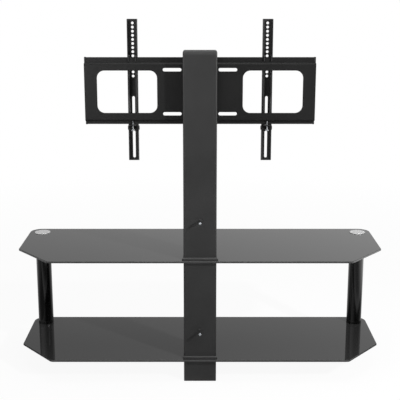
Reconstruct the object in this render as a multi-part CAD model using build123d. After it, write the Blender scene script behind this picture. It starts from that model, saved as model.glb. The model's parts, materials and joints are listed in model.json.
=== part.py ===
"""TV stand: two glass shelves held between the sections of a rear column and two round front legs,
with a folded mount plate on the column and two tilting arms for the screen.

The frame has +Z up. The screen faces -Y, so the column's back faces +Y. Left is -X, as seen by
someone who watches the screen. The origin is on the floor, at the centre of the stand's outline.
"""

import os

from build123d import *

# ---- Glass shelves ----
shelf_width = 1143.0
shelf_depth = 375.0
glass_thickness = 6.0
lower_shelf_height = 77.0
upper_shelf_height = 396.0
corner_cut_across = 110.15
corner_cut_forward = 133.75
rear_corner_radius = 15.0
side_corner_radius = 5.0
front_corner_radius = 37.0
glass_edge_bevel = 0.8
gasket_thickness = 1.0

# ---- Column ----
column_width = 100.0
column_depth = 50.0
column_wall = 2.0
column_corner_radius = 4.0
column_height = 1021.5
column_setback = 17.0
cap_height = 10.6
cap_edge_radius = 6.5
foot_plug_sole = 3.0
spigot_wall = 2.5
spigot_height = 12.0
collar_height = 7.0
collar_rim = 0.8
upper_collar_nose = 5.0
lower_collar_nose = 3.3
collar_bevel = 3.0
collar_ear_run = 9.0
collar_seat = 2.0

# ---- Rods through the column ----
column_rod_radius = 5.0
column_rod_spacing = 60.0
column_rod_tail = 6.0
column_nut_across = 16.0
column_nut_height = 8.0
column_washer_radius = 10.0
column_washer_thickness = 2.0
base_plate_thickness = 4.0
base_plate_lift = 15.0
base_plate_gap = 3.5
clamp_plate_thickness = 5.0
clamp_plate_lift = 16.0
rod_clearance = 1.0

# ---- Front legs ----
leg_radius = 25.0
leg_wall = 1.5
leg_inset_side = 42.5
leg_inset_front = 46.5
leg_collar_height = 10.0
leg_collar_rim = 0.2
leg_rod_radius = 4.0
leg_cap_radius = 25.8
leg_cap_thickness = 1.4
leg_cap_round = 1.0
leg_cap_boss_wall = 1.8
leg_cap_boss_length = 16.0
centring_disc_thickness = 6.0
foot_insert_length = 30.0
foot_insert_rod_grip = 10.0
foot_stud_length = 20.0
foot_pad_radius = 22.0
foot_pad_height = 8.0
foot_pad_edge = 2.0
foot_gap = 2.0

# ---- Cable pegs ----
upper_peg_height = 517.5
lower_peg_height = 167.8
peg_reach = 35.0
peg_shank_radius = 4.2
peg_screw_radius = 2.5
peg_base_radius = 6.0
peg_base_thickness = 1.5
peg_base_round = 0.7
peg_tip_radius = 3.75
peg_tip_length = 6.0
peg_nut_wall = 2.0
peg_nut_length = 14.0

# ---- Mount plate ----
plate_width = 682.0
plate_height = 198.0
plate_drop = 22.5
plate_thickness = 2.5
lip_step = 12.0
top_lip_height = 17.0
bottom_lip_height = 10.7
bend_radius = 2.0
window_inner_x = 126.5
window_side_margin = 37.5
window_rise_margin = 22.65
row_lift = 1.4
window_corner_radius = 22.0
plate_slot_length = 55.0
plate_slot_width = 10.0
plate_slot_offset = 82.0
plate_hole_inset = 20.15
plate_bolt_offset = 25.0
lip_cap_length = 5.5
lip_cap_wall = 0.6

# ---- Bolts of the plate ----
plate_bolt_radius = 4.0
plate_bolt_head_across = 13.0
plate_bolt_head_height = 5.3
plate_bolt_length = 20.0
plate_washer_radius = 8.0
plate_washer_thickness = 1.6
rivet_nut_radius = 5.5
rivet_nut_length = 16.0

# ---- Arms ----
screen_hole_spacing = 400.0
arm_width = 30.0
arm_depth = 25.0
arm_wall = 2.0
arm_gap = 11.5
arm_rise = 109.2
arm_top_margin = 12.0
arm_bottom_margin = 12.0
arm_hole_radius = 4.0
arm_hole_pitch = 12.0
arm_hole_count = 14
arm_slot_length = 83.0
arm_slot_start = 216.3
arm_end_taper = 4.8

# ---- Hook brackets ----
bracket_thickness = 2.5
friction_washer_thickness = 1.0
friction_washer_radius = 9.0
pivot_drop = 15.0
pivot_radius = 4.0
pivot_head_radius = 7.2
pivot_head_height = 2.6
pivot_boss_radius = 10.0
strut_width = 23.0
strut_shoulder = 51.0
strut_slope = 18.0
hook_tooth_depth = 11.0
hook_tooth_width = 6.0
hook_height = 5.0
bridge_height = 17.0
bridge_drop = 20.0
tab_reach = 13.0
tab_gap = 1.5
tilt_lock_rise = 37.0
tilt_lock_back = 5.0
tilt_lock_radius = 2.5
tilt_lock_head_radius = 5.0
tilt_lock_head_height = 2.5
head_rounding = 0.85
tilt_range = 12.0

# ---- Lock screws ----
lock_screw_radius = 2.0
lock_screw_back = 4.75
lock_screw_point = 1.0
lock_screw_head_radius = 5.0
lock_screw_head_height = 3.4
lock_screw_flare = 2.4
lock_screw_edge = 0.6
lock_screw_shank = 23.2
lock_screw_recess = 2.0
lock_screw_drive = 5.0

# ---- Fits ----
running_fit = 0.05
slip_fit = 0.2
sliding_gap = 0.3
lock_end_gap = 0.5

# ---- Cutting ----
# How far a cutting shape runs past the faces that it cuts.
cut_margin = 1.0

# ---- Places that follow from the sizes ----
peg_overhang = max(peg_reach - column_setback, 0.0)
stand_depth = shelf_depth + peg_overhang
shelf_front_y = -stand_depth / 2
shelf_rear_y = shelf_front_y + shelf_depth
column_back_y = shelf_rear_y - column_setback
column_centre_y = column_back_y - column_depth / 2
column_front_y = column_back_y - column_depth
leg_x = shelf_width / 2 - leg_inset_side
leg_y = shelf_front_y + leg_inset_front

lower_glass_bottom = lower_shelf_height - glass_thickness
upper_glass_bottom = upper_shelf_height - glass_thickness
lower_tube_bottom = foot_plug_sole
lower_tube_top = lower_glass_bottom - gasket_thickness
middle_tube_bottom = lower_shelf_height + collar_seat
middle_tube_top = upper_glass_bottom - gasket_thickness
upper_tube_bottom = upper_shelf_height + collar_seat
upper_tube_top = column_height - cap_height
upper_leg_bottom = lower_shelf_height + leg_collar_height

base_plate_bottom = foot_plug_sole + base_plate_lift
clamp_plate_bottom = upper_shelf_height + clamp_plate_lift
clamp_plate_top = clamp_plate_bottom + clamp_plate_thickness
column_nut_stack = column_washer_thickness + column_nut_height

plate_top = column_height - plate_drop
plate_bottom = plate_top - plate_height
web_top = plate_top - top_lip_height
web_bottom = plate_bottom + bottom_lip_height
row_middle = (web_top + web_bottom) / 2 + row_lift
plate_hole_rise = (web_top - web_bottom) / 2 - plate_hole_inset
window_outer_x = plate_width / 2 - window_side_margin
window_width = window_outer_x - window_inner_x
window_height = web_top - web_bottom - 2 * window_rise_margin
window_offset = (window_inner_x + window_outer_x) / 2
plate_back_y = column_front_y
plate_front_y = plate_back_y - plate_thickness
lip_back_y = plate_back_y - lip_step
lip_front_y = lip_back_y - plate_thickness

arm_back_y = lip_front_y - arm_gap
arm_front_y = arm_back_y - arm_depth
arm_top = plate_top + arm_rise
arm_length = arm_top_margin + screen_hole_spacing + arm_bottom_margin
arm_bottom = arm_top - arm_length
first_hole_z = arm_top - arm_top_margin
arm_x = screen_hole_spacing / 2

pivot_z = plate_bottom - pivot_drop
pivot_y = arm_front_y + arm_wall + running_fit + sliding_gap + pivot_boss_radius
cheek_outer = arm_width / 2 - arm_wall - friction_washer_thickness
cheek_inner = cheek_outer - bracket_thickness
tab_top = plate_bottom - tab_gap
tab_bottom = tab_top - bracket_thickness
tilt_lock_z = pivot_z + tilt_lock_rise
tilt_lock_y = pivot_y + tilt_lock_back

lock_screw_y = lip_back_y + lock_screw_back
lock_screw_tip = web_bottom - lock_end_gap
lock_screw_head_top = lock_screw_tip - lock_screw_point - lock_screw_shank


def save(name, *solids):
    """Write one node: a single solid, or a group of separate solids."""
    shape = solids[0] if len(solids) == 1 else Compound(list(solids))
    shape.label = name
    export_step(shape, f"parts/{name}.step")


def block(x_span, y_span, z_span):
    """A box between two places along each axis."""
    size = [span[1] - span[0] for span in (x_span, y_span, z_span)]
    middle = [(span[0] + span[1]) / 2 for span in (x_span, y_span, z_span)]
    return Pos(*middle) * Box(*size)


def rod_x(x_from, x_to, y, z, radius):
    """A round bar along X."""
    middle = Pos((x_from + x_to) / 2, y, z) * Rot(0, 90, 0)
    return middle * Cylinder(radius, abs(x_to - x_from))


def rod_y(x, y_from, y_to, z, radius):
    """A round bar along Y."""
    middle = Pos(x, (y_from + y_to) / 2, z) * Rot(90, 0, 0)
    return middle * Cylinder(radius, abs(y_to - y_from))


def rod_z(x, y, z_from, z_to, radius):
    """A round bar along Z."""
    return Pos(x, y, (z_from + z_to) / 2) * Cylinder(radius, abs(z_to - z_from))


def hole_x(x_from, x_to, y, z, radius):
    """The cutting shape of a round hole along X, which runs past both faces."""
    return rod_x(min(x_from, x_to) - cut_margin, max(x_from, x_to) + cut_margin, y, z, radius)


def hole_y(x, y_from, y_to, z, radius):
    """The cutting shape of a round hole along Y, which runs past both faces."""
    return rod_y(x, min(y_from, y_to) - cut_margin, max(y_from, y_to) + cut_margin, z, radius)


def hole_z(x, y, z_from, z_to, radius):
    """The cutting shape of a round hole along Z, which runs past both faces."""
    return rod_z(x, y, min(z_from, z_to) - cut_margin, max(z_from, z_to) + cut_margin, radius)


def ring_z(x, y, z_from, z_to, outer, inner):
    """A round ring or tube along Z."""
    return rod_z(x, y, z_from, z_to, outer) - hole_z(x, y, z_from, z_to, inner)


def rounded_bar(width, depth, corner, z_from, z_to):
    """An upright bar of rounded rectangular section, centred on the column's axis."""
    outline = RectangleRounded(width, depth, corner)
    return Pos(0, column_centre_y, z_from) * extrude(outline, z_to - z_from)


def opening_bar(width, depth, corner, z_from, z_to):
    """The cutting shape of an upright rectangular opening, which runs past both faces."""
    return rounded_bar(width, depth, corner, z_from - cut_margin, z_to + cut_margin)


# ---- Glass ----


def shelf_outline():
    """The glass seen from above: its two rear corners are cut off, and its front ones are round."""
    half = shelf_width / 2
    rear_half = half - corner_cut_across
    side_y = shelf_rear_y - corner_cut_forward
    corners = [
        (rear_half, shelf_rear_y),
        (-rear_half, shelf_rear_y),
        (-half, side_y),
        (-half, shelf_front_y),
        (half, shelf_front_y),
        (half, side_y),
    ]
    radii = [
        rear_corner_radius,
        rear_corner_radius,
        side_corner_radius,
        front_corner_radius,
        front_corner_radius,
        side_corner_radius,
    ]
    return make_face(FilletPolyline(*corners, radius=radii, close=True))


def glass_shelf(top):
    """One sheet of glass with ground edges, and holes for the rods of the column and the legs."""
    bottom = top - glass_thickness
    sheet = Pos(0, 0, bottom) * extrude(shelf_outline(), glass_thickness)
    rims = sheet.edges().group_by(Axis.Z)[-1] + sheet.edges().group_by(Axis.Z)[0]
    sheet = chamfer(rims, glass_edge_bevel)
    for x in column_rod_places():
        sheet -= hole_z(x, column_centre_y, bottom, top, column_rod_radius + rod_clearance)
    for side in (-1, 1):
        sheet -= hole_z(side * leg_x, leg_y, bottom, top, boss_radius() + rod_clearance)
    return sheet


# ---- Column ----


def column_rod_places():
    return (-column_rod_spacing / 2, column_rod_spacing / 2)


def column_tube(z_from, z_to):
    """One section of the column, a drawn rectangular steel tube."""
    inner_corner = column_corner_radius - column_wall
    inner_width = column_width - 2 * column_wall
    inner_depth = column_depth - 2 * column_wall
    tube = rounded_bar(column_width, column_depth, column_corner_radius, z_from, z_to)
    return tube - opening_bar(inner_width, inner_depth, inner_corner, z_from, z_to)


def peg_hole(z):
    """The round hole in the column's back wall that a peg's rivet nut sits in."""
    wall_front = column_back_y - column_wall
    return hole_y(0, wall_front, column_back_y, z, peg_nut_radius() + running_fit)


def plate_bolt_places():
    """Where the mount plate is bolted to the column, as pairs of X and Z."""
    return [
        (side * plate_bolt_offset, row_middle + level * plate_hole_rise)
        for side in (-1, 1)
        for level in (-1, 1)
    ]


def upper_column_tube():
    """The tall section: it carries the mount plate in front and one peg behind."""
    tube = column_tube(upper_tube_bottom, upper_tube_top)
    for x, z in plate_bolt_places():
        wall_back = column_front_y + column_wall
        tube -= hole_y(x, column_front_y, wall_back, z, rivet_nut_radius + running_fit)
    return tube - peg_hole(upper_peg_height)


def tube_spigot(z_from, z_to):
    """A hollow plug that fits inside the column's tube."""
    play = column_wall + slip_fit
    width = column_width - 2 * play
    depth = column_depth - 2 * play
    corner = column_corner_radius - column_wall
    plug = rounded_bar(width, depth, corner, z_from, z_to)
    return plug - opening_bar(width - 2 * spigot_wall, depth - 2 * spigot_wall, corner / 2, z_from, z_to)


def column_top_cap():
    """A moulded lid with a rounded rim and a spigot that holds it in the tube."""
    lid = rounded_bar(column_width, column_depth, column_corner_radius, upper_tube_top, column_height)
    lid = fillet(lid.edges().group_by(Axis.Z)[-1], cap_edge_radius)
    return lid + tube_spigot(upper_tube_top - spigot_height, upper_tube_top)


def column_foot_plug():
    """The moulded plug that the column stands on, with a spigot up into the tube."""
    sole = rounded_bar(column_width, column_depth, column_corner_radius, 0, foot_plug_sole)
    return sole + tube_spigot(foot_plug_sole, base_plate_bottom - base_plate_gap)


def column_collar(glass_top, nose):
    """A moulded collar on the glass that the next section of the column stands in."""
    rim_width = column_width + 2 * collar_rim
    rim_depth = column_depth + 2 * collar_rim
    top = glass_top + collar_height
    corner = column_corner_radius + collar_rim
    collar = rounded_bar(rim_width, rim_depth, corner, glass_top, top)
    collar += collar_bar(glass_top, top, nose)
    socket_width = column_width + 2 * running_fit
    socket_depth = column_depth + 2 * running_fit
    seat = glass_top + collar_seat
    collar -= rounded_bar(socket_width, socket_depth, column_corner_radius, seat, top + cut_margin)
    bore_width = column_width - 2 * (column_wall + spigot_wall)
    bore_depth = column_depth - 2 * (column_wall + spigot_wall)
    return collar - opening_bar(bore_width, bore_depth, column_corner_radius / 2, glass_top, seat)


def collar_outline(reach):
    """The bar behind the column seen from above: it widens towards its back, and stands out by reach."""
    root_half = column_width / 2 + collar_rim
    root_y = column_back_y - collar_ear_run
    return make_face(Polyline(
        (-root_half, root_y),
        (root_half, root_y),
        (column_width / 2 + reach, column_back_y + reach),
        (-column_width / 2 - reach, column_back_y + reach),
        close=True,
    ))


def collar_bar(glass_top, top, nose):
    """The bar along the back of a collar, with its upper edges bevelled down from the column."""
    shoulder = top - collar_bevel
    bar = Pos(0, 0, glass_top) * extrude(collar_outline(nose), shoulder - glass_top)
    bevel = loft([
        Pos(0, 0, shoulder) * collar_outline(nose),
        Pos(0, 0, top) * collar_outline(collar_rim),
    ])
    return bar + bevel


def column_gasket(glass_bottom):
    """A rubber pad between the top of a section and the glass on it."""
    pad_bottom = glass_bottom - gasket_thickness
    pad = rounded_bar(column_width, column_depth, column_corner_radius, pad_bottom, glass_bottom)
    for x in column_rod_places():
        pad -= hole_z(x, column_centre_y, pad_bottom, glass_bottom, column_rod_radius + rod_clearance)
    return pad


def welded_plate(bottom, thickness):
    """A steel plate across the inside of the column, with holes for the rods."""
    width = column_width - 2 * column_wall
    depth = column_depth - 2 * column_wall
    plate = rounded_bar(width, depth, column_corner_radius - column_wall, bottom, bottom + thickness)
    for x in column_rod_places():
        plate -= hole_z(x, column_centre_y, bottom, bottom + thickness, column_rod_radius + slip_fit)
    return plate


def hexagon_z(x, y, z_from, z_to, across):
    """A hexagonal bar along Z, given by its size across the flats."""
    outline = RegularPolygon(across / 2, 6, major_radius=False)
    return Pos(x, y, z_from) * extrude(outline, z_to - z_from)


def column_fixings():
    """The rods that clamp the column's sections together, with a nut and washer at each end."""
    rods = []
    nuts = []
    washers = []
    y = column_centre_y
    bore = column_rod_radius + running_fit
    low_end = base_plate_bottom - column_nut_stack - column_rod_tail / 2
    high_end = clamp_plate_top + column_nut_stack + column_rod_tail
    for x in column_rod_places():
        rods.append(rod_z(x, y, low_end, high_end, column_rod_radius))
        low_nut = base_plate_bottom - column_nut_stack
        high_nut = clamp_plate_top + column_washer_thickness
        for nut_bottom in (low_nut, high_nut):
            nut = hexagon_z(x, y, nut_bottom, nut_bottom + column_nut_height, column_nut_across)
            nuts.append(nut - hole_z(x, y, nut_bottom, nut_bottom + column_nut_height, bore))
        low_washer = base_plate_bottom - column_washer_thickness
        for washer_bottom in (low_washer, clamp_plate_top):
            washer_top = washer_bottom + column_washer_thickness
            washers.append(ring_z(x, y, washer_bottom, washer_top, column_washer_radius, bore))
    return rods, nuts, washers


# ---- Front legs ----


def boss_radius():
    return leg_rod_radius + running_fit + leg_cap_boss_wall


def leg_tube(x, z_from, z_to):
    return ring_z(x, leg_y, z_from, z_to, leg_radius, leg_radius - leg_wall)


def leg_cap(x):
    """The bright disc on the upper glass, with a threaded boss down into the leg."""
    gasket_top = upper_shelf_height + gasket_thickness / 2
    top = gasket_top + leg_cap_thickness
    disc = rod_z(x, leg_y, gasket_top, top, leg_cap_radius)
    disc = fillet(disc.edges().group_by(Axis.Z)[-1], leg_cap_round)
    boss_bottom = gasket_top - leg_cap_boss_length
    boss = rod_z(x, leg_y, boss_bottom, gasket_top, boss_radius())
    thread = rod_z(x, leg_y, boss_bottom - cut_margin, gasket_top, leg_rod_radius + running_fit)
    return disc + boss - thread


def leg_collar(x):
    """A moulded ring on the lower glass that the upper leg tube stands on."""
    outer = leg_radius + leg_collar_rim
    inner = leg_radius - leg_wall - spigot_wall
    return ring_z(x, leg_y, lower_shelf_height, upper_leg_bottom, outer, inner)


def centring_disc(x, z_from, z_to, bore):
    """A plug inside the end of a leg tube that keeps the rod on its axis."""
    return ring_z(x, leg_y, z_from, z_to, leg_radius - leg_wall - running_fit, bore)


def leg_centring_discs(x):
    """The discs at the upper end of the lower leg and at both ends of the upper leg."""
    thickness = centring_disc_thickness
    rod_bore = leg_rod_radius + slip_fit
    boss_bore = boss_radius() + slip_fit
    return [
        centring_disc(x, lower_tube_top - thickness, lower_tube_top, rod_bore),
        centring_disc(x, upper_leg_bottom, upper_leg_bottom + thickness, rod_bore),
        centring_disc(x, middle_tube_top - thickness, middle_tube_top, boss_bore),
    ]


def leg_gaskets(x):
    """Soft rings between the glass and the metal of one leg."""
    bore = boss_radius() + rod_clearance
    outer = leg_radius
    cap_gasket_top = upper_shelf_height + gasket_thickness / 2
    return [
        ring_z(x, leg_y, lower_glass_bottom - gasket_thickness, lower_glass_bottom, outer, bore),
        ring_z(x, leg_y, upper_glass_bottom - gasket_thickness, upper_glass_bottom, outer, bore),
        ring_z(x, leg_y, upper_shelf_height, cap_gasket_top, outer, bore),
    ]


def leg_tube_bottom():
    return foot_pad_height + foot_gap


def foot_insert(x):
    """The threaded plug in the bottom of the leg that takes the rod above and the foot below."""
    bottom = leg_tube_bottom()
    top = bottom + foot_insert_length
    return ring_z(x, leg_y, bottom, top, leg_radius - leg_wall - running_fit, leg_rod_radius + running_fit)


def leg_tie_rod(x):
    """The threaded rod that clamps one leg from its foot insert to its cap."""
    bottom = leg_tube_bottom() + foot_insert_length - foot_insert_rod_grip
    top = upper_shelf_height - gasket_thickness
    return rod_z(x, leg_y, bottom, top, leg_rod_radius)


def foot_pad(x):
    """The part of a levelling foot that stands on the floor."""
    pad = rod_z(x, leg_y, 0, foot_pad_height, foot_pad_radius)
    return fillet(pad.edges().group_by(Axis.Z)[-1], foot_pad_edge)


def foot_stud(x):
    return rod_z(x, leg_y, foot_pad_height, foot_pad_height + foot_stud_length, leg_rod_radius)


# ---- Cable pegs ----


def peg_nut_radius():
    return peg_screw_radius + running_fit + peg_nut_wall


def cable_peg(z):
    """A peg that stands out of the column's back, to wind or hang cables on."""
    base_back = column_back_y + peg_base_thickness
    shank_end = column_back_y + peg_reach - peg_tip_length
    base = rod_y(0, column_back_y, base_back, z, peg_base_radius)
    base = fillet(base.edges().group_by(Axis.Y)[-1], peg_base_round)
    screw_end = column_back_y - peg_nut_length
    shank = rod_y(0, column_back_y, shank_end, z, peg_shank_radius)
    return base + shank + rod_y(0, screw_end, column_back_y, z, peg_screw_radius)


def peg_tip(z):
    """The bright rounded end of a peg."""
    tip_start = column_back_y + peg_reach - peg_tip_length
    tip = rod_y(0, tip_start, column_back_y + peg_reach, z, peg_tip_radius)
    return fillet(tip.edges().group_by(Axis.Y)[-1], peg_tip_radius / 2)


def peg_rivet_nut(z):
    """The threaded sleeve in the column's back wall."""
    end = column_back_y - peg_nut_length
    sleeve = rod_y(0, end, column_back_y, z, peg_nut_radius())
    return sleeve - hole_y(0, end, column_back_y, z, peg_screw_radius + running_fit)


# ---- Mount plate ----


def folded_section():
    """The plate seen from its end: a flat web with both lips stepped towards the screen."""
    half = plate_thickness / 2
    web_y = plate_back_y - half
    lip_y = lip_back_y - half
    line = FilletPolyline(
        (lip_y, plate_top),
        (lip_y, web_top - half),
        (web_y, web_top - half),
        (web_y, web_bottom + half),
        (lip_y, web_bottom + half),
        (lip_y, plate_bottom),
        radius=bend_radius + half,
    )
    return trace(line, plate_thickness)


def mount_plate():
    """One folded sheet with two windows, four slots and four bolt holes."""
    end = Plane.YZ.offset(-plate_width / 2)
    plate = extrude(end * folded_section(), plate_width)
    web = Plane.XZ.offset(-(plate_back_y + plate_front_y) / 2)
    window = RectangleRounded(window_width, window_height, window_corner_radius)
    slot = SlotOverall(plate_slot_length, plate_slot_width)
    for side in (-1, 1):
        plate -= extrude(web * Pos(side * window_offset, row_middle) * window, plate_thickness, both=True)
        for level in (-1, 1):
            place = Pos(side * plate_slot_offset, row_middle + level * plate_hole_rise)
            plate -= extrude(web * place * slot, plate_thickness, both=True)
    for x, z in plate_bolt_places():
        plate -= hole_y(x, plate_front_y, plate_back_y, z, plate_bolt_radius + slip_fit)
    for z_free, z_bend in lip_spans():
        away = cut_margin if z_free > z_bend else -cut_margin
        z_span = (min(z_free + away, z_bend), max(z_free + away, z_bend))
        for side in (-1, 1):
            ends = (side * (plate_width / 2 - lip_cap_wall), side * (plate_width / 2 + cut_margin))
            plate -= block((min(ends), max(ends)), (lip_front_y, lip_back_y), z_span)
    return plate


def lip_spans():
    """The flat part of each lip, as the heights of its free edge and of its end at the bend."""
    bend_room = bend_radius + plate_thickness
    return [(plate_top, web_top + bend_room), (plate_bottom, web_bottom - bend_room)]


def lip_cap(side, z_free, z_bend):
    """A moulded cap over the end of a lip: the lip stops short by the cap's wall."""
    outer_x = side * plate_width / 2
    end_x = outer_x - side * lip_cap_wall
    inner_x = outer_x - side * lip_cap_length
    away = 1 if z_free > z_bend else -1
    z_low = min(z_free + away * lip_cap_wall, z_bend)
    z_high = max(z_free + away * lip_cap_wall, z_bend)
    y_span = (lip_front_y - lip_cap_wall, lip_back_y + lip_cap_wall)
    x_span = (min(inner_x, outer_x), max(inner_x, outer_x))
    shell = block(x_span, y_span, (z_low, z_high))
    shell = fillet(shell.edges().filter_by(Axis.Z), lip_cap_wall / 2)
    x_inside = (min(inner_x, end_x), max(inner_x, end_x))
    z_inside = (min(z_free, z_bend), max(z_free, z_bend))
    return shell - block(x_inside, (lip_front_y, lip_back_y), z_inside)


def hexagon_y(x, y_from, y_to, z, across):
    """A hexagonal bar along Y, given by its size across the flats."""
    outline = RegularPolygon(across / 2, 6, major_radius=False)
    bar = extrude(outline, abs(y_to - y_from))
    return Pos(x, max(y_from, y_to), z) * Rot(90, 0, 0) * bar


def plate_fixings():
    """The bolts that hold the plate to the column, their washers and their rivet nuts."""
    bolts = []
    washers = []
    nuts = []
    washer_front = plate_front_y - plate_washer_thickness
    head_front = washer_front - plate_bolt_head_height
    shank_end = washer_front + plate_bolt_length
    nut_end = column_front_y + rivet_nut_length
    for x, z in plate_bolt_places():
        head = hexagon_y(x, head_front, washer_front, z, plate_bolt_head_across)
        bolts.append(head + rod_y(x, washer_front, shank_end, z, plate_bolt_radius))
        washer = rod_y(x, washer_front, plate_front_y, z, plate_washer_radius)
        washers.append(washer - hole_y(x, washer_front, plate_front_y, z, plate_bolt_radius + running_fit))
        sleeve = rod_y(x, column_front_y, nut_end, z, rivet_nut_radius)
        nuts.append(sleeve - hole_y(x, column_front_y, nut_end, z, plate_bolt_radius + running_fit))
    return bolts, washers, nuts


# ---- Arms ----


def rail_end_wedge(x):
    """The cutting shape that slants the lower ends of a rail's side walls, up from its front wall."""
    outline = make_face(Polyline(
        (arm_front_y + arm_wall, arm_bottom - cut_margin),
        (arm_front_y + arm_wall, arm_bottom),
        (arm_back_y, arm_bottom + arm_end_taper),
        (arm_back_y + cut_margin, arm_bottom + arm_end_taper),
        (arm_back_y + cut_margin, arm_bottom - cut_margin),
        close=True,
    ))
    start = x - arm_width / 2 - cut_margin
    return extrude(Plane.YZ.offset(start) * outline, arm_width + 2 * cut_margin)


def arm_rail(x):
    """A channel that opens towards the plate, with screen holes and slots in its front wall."""
    half = (arm_width - arm_wall) / 2
    front = arm_front_y + arm_wall / 2
    line = FilletPolyline(
        (x - half, arm_back_y),
        (x - half, front),
        (x + half, front),
        (x + half, arm_back_y),
        radius=arm_wall,
    )
    rail = extrude(Pos(0, 0, arm_bottom) * trace(line, arm_wall), arm_length) - rail_end_wedge(x)
    for row in range(arm_hole_count):
        z = first_hole_z - row * arm_hole_pitch
        rail -= hole_y(x, arm_front_y, arm_front_y + arm_wall, z, arm_hole_radius)
    upper_slot_middle = first_hole_z - arm_slot_start - arm_slot_length / 2
    lower_slot_end = first_hole_z - screen_hole_spacing - arm_hole_radius
    lower_slot_middle = lower_slot_end + arm_slot_length / 2
    wall = Plane.XZ.offset(-front)
    slot = Rot(0, 0, 90) * SlotOverall(arm_slot_length, 2 * arm_hole_radius)
    for z in (upper_slot_middle, lower_slot_middle):
        rail -= extrude(wall * Pos(x, z) * slot, arm_wall, both=True)
    outer = (x - arm_width / 2, x + arm_width / 2)
    rail -= hole_x(*outer, pivot_y, pivot_z, pivot_radius + running_fit)
    return rail - hole_x(*outer, tilt_lock_y, tilt_lock_z, tilt_lock_radius + running_fit)


def tilt_slot():
    """The curved slot that the tilt lock bolt runs in, seen along X, as a closed outline."""
    reach = ((tilt_lock_y - pivot_y) ** 2 + tilt_lock_rise**2) ** 0.5
    path = CenterArc((pivot_y, pivot_z), reach, tilt_slot_start(), tilt_range)
    width = 2 * (tilt_lock_radius + slip_fit)
    band = trace(path, width)
    for end in (path @ 0, path @ 1):
        band += Pos(end.X, end.Y) * Circle(width / 2)
    return band


def tilt_slot_start():
    """The tilt lock bolt's direction from the pivot at rest, in degrees from +Y towards +Z."""
    return Vector(tilt_lock_y - pivot_y, tilt_lock_rise).get_angle(Vector(1, 0))


def cheek_outline():
    """One cheek of the hook bracket seen along X: pivot end, strut, and the hook over the lip."""
    strut_back = lip_front_y - sliding_gap
    strut_front = strut_back - strut_width
    boss_front = pivot_y - pivot_boss_radius
    hook_top = plate_top + sliding_gap + hook_height
    tooth_back = lip_back_y + sliding_gap + hook_tooth_width
    tooth_bottom = plate_top - hook_tooth_depth
    shoulder = pivot_z + strut_shoulder
    body = make_face(Polyline(
        (boss_front, pivot_z),
        (boss_front, shoulder),
        (strut_front, shoulder + strut_slope),
        (strut_front, hook_top),
        (tooth_back, hook_top),
        (tooth_back, tooth_bottom),
        (lip_back_y + sliding_gap, tooth_bottom),
        (lip_back_y + sliding_gap, plate_top + sliding_gap),
        (strut_back, plate_top + sliding_gap),
        (strut_back, tab_bottom),
        (pivot_y + pivot_boss_radius, pivot_z),
        close=True,
    ))
    return body + Pos(pivot_y, pivot_z) * Circle(pivot_boss_radius)


def hook_bracket(x):
    """A folded bracket: two cheeks, a bridge between them behind the lip, and the lock tab."""
    outline = cheek_outline() - tilt_slot()
    strut_back = lip_front_y - sliding_gap
    bracket = None
    for side in (-1, 1):
        inner = x + min(side * cheek_inner, side * cheek_outer)
        cheek = extrude(Plane.YZ.offset(inner) * outline, bracket_thickness)
        bracket = cheek if bracket is None else bracket + cheek
    bridge_top = plate_top - bridge_drop
    x_span = (x - cheek_inner, x + cheek_inner)
    y_bridge = (strut_back - bracket_thickness, strut_back)
    bracket += block(x_span, y_bridge, (bridge_top - bridge_height, bridge_top))
    y_tab = (strut_back - strut_width / 2, strut_back + tab_reach)
    bracket += block(x_span, y_tab, (tab_bottom, tab_top))
    bracket -= hole_z(x, lock_screw_y, tab_bottom, tab_top, lock_screw_radius + running_fit)
    across = (x - cheek_outer, x + cheek_outer)
    return bracket - hole_x(*across, pivot_y, pivot_z, pivot_radius + running_fit)


def round_head(x_from, x_to, y, z, radius):
    """A low round head, its rim rounded on the side that faces out."""
    head = rod_x(x_from, x_to, y, z, radius)
    outer = head.edges().group_by(Axis.X)[-1 if x_to > x_from else 0]
    return fillet(outer, abs(x_to - x_from) * head_rounding)


def cross_bolt(x, y, z, radius, head_radius, head_height):
    """A bolt across the rail, its round head on the outer side and its round nut on the inner side."""
    outward = 1 if x > 0 else -1
    head_face = x + outward * arm_width / 2
    nut_face = x - outward * arm_width / 2
    thread_end = nut_face - outward * head_height / 2
    head = round_head(head_face, head_face + outward * head_height, y, z, head_radius)
    bolt = head + rod_x(head_face, thread_end, y, z, radius)
    nut = round_head(nut_face, nut_face - outward * head_height, y, z, head_radius)
    nut -= rod_x(nut_face + outward * cut_margin, thread_end, y, z, radius + running_fit)
    return bolt, nut


def friction_washers(x):
    """The thin rings between the rail's walls and the bracket's cheeks."""
    rings = []
    for side in (-1, 1):
        inner = x + side * cheek_outer
        outer = inner + side * friction_washer_thickness
        ring = rod_x(inner, outer, pivot_y, pivot_z, friction_washer_radius)
        rings.append(ring - hole_x(inner, outer, pivot_y, pivot_z, pivot_radius + running_fit))
    return rings


def lock_screw(x):
    """A screw driven up from below: its point stands behind the plate's bottom lip."""
    shank_top = lock_screw_tip - lock_screw_point
    head_bottom = lock_screw_head_top - lock_screw_head_height - lock_screw_flare
    flare_bottom = head_bottom + lock_screw_head_height
    flare_height = lock_screw_head_top - flare_bottom
    y = lock_screw_y
    screw = rod_z(x, y, head_bottom, flare_bottom, lock_screw_head_radius)
    flare = Cone(lock_screw_head_radius - lock_screw_edge, lock_screw_radius, flare_height)
    screw += Pos(x, y, flare_bottom + flare_height / 2) * flare
    screw += rod_z(x, y, lock_screw_head_top, shank_top, lock_screw_radius)
    point = Cone(lock_screw_radius, lock_screw_radius / 2, lock_screw_point)
    screw += Pos(x, y, shank_top + lock_screw_point / 2) * point
    recess_top = head_bottom + lock_screw_recess
    drive = hexagon_z(x, y, head_bottom - cut_margin, recess_top, lock_screw_drive)
    return screw - drive


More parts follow.
